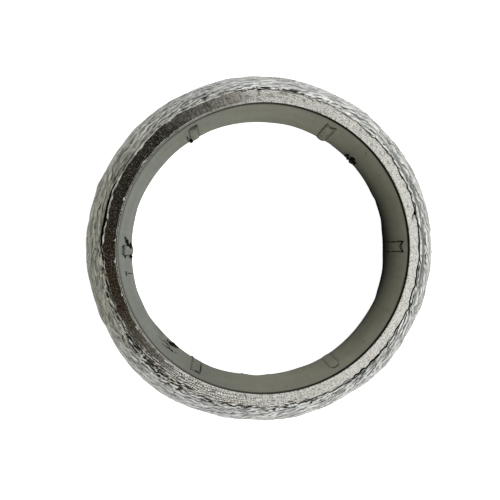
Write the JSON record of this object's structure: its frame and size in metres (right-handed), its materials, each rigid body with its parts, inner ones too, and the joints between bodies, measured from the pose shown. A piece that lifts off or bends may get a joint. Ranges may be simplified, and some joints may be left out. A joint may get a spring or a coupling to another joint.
{
  "type": "exhaust sealing ring",
  "caption": "Rounded exhaust sealing ring of pressed wire mesh with a bare conical nose, a crumpled mesh wrap and a steel-lined bore with raised ribs.",
  "frame": {"origin": "centre of the flat back face, on the ring's axis", "axes": "+Z along the ring's axis from the back face to the nose; +X through one rib of the sleeve"},
  "size_m": [0.073, 0.073, 0.015],
  "materials": {
    "pressed_mesh": "pressed wire and graphite, fine grain, half dull",
    "mesh_wrap": "crumpled knitted wire, creased, half bright",
    "sleeve_steel": "smooth satin sheet steel"
  },
  "bodies": {
    "root": {"mesh_core": "pressed_mesh", "outer_wrap": "mesh_wrap", "inner_sleeve": "sleeve_steel"}
  },
  "joints": []
}
